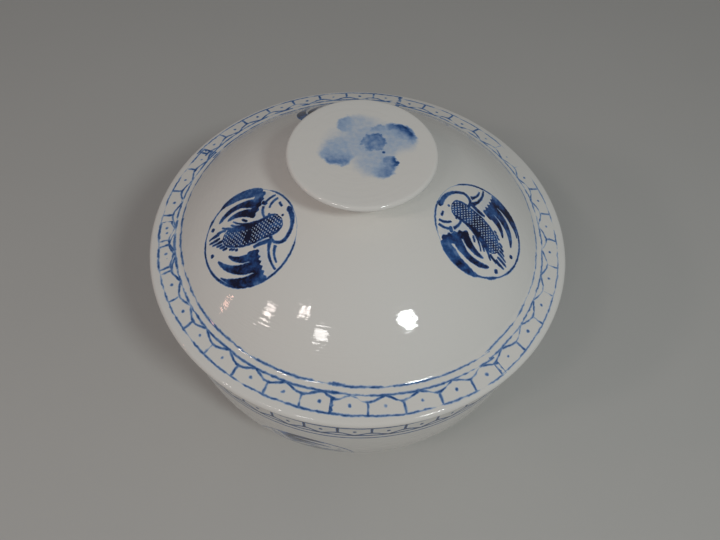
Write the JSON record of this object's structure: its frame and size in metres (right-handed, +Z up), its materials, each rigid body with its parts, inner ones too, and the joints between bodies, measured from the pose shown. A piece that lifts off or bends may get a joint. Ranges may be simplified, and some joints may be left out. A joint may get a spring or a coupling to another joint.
{
  "type": "covered bowl",
  "caption": "Deep round bowl on a foot ring with a domed, brimmed lid that lifts off by a flat disc knob; blue and white glazed porcelain.",
  "frame": {"origin": "centre of the foot ring's standing edge, on the surface the bowl stands on", "axes": "+Z up along the turned axis of bowl and lid; -Y faces the camera of the picture"},
  "size_m": [0.21, 0.21, 0.1651],
  "materials": {
    "glazed_porcelain": "clear gloss glaze over white porcelain with cobalt blue decoration",
    "foot_porcelain": "glazed sides with a bare standing edge"
  },
  "bodies": {
    "bowl": {"bowl": "glazed_porcelain", "foot_ring": "foot_porcelain"},
    "lid": {"lid": "glazed_porcelain", "lid_flange": "glazed_porcelain", "knob": "glazed_porcelain"}
  },
  "joints": [
    {"name": "lid_lift", "type": "slide", "parent": "bowl", "child": "lid", "axis": [0, 0, 1], "range_m": [0, 0.15]}
  ]
}
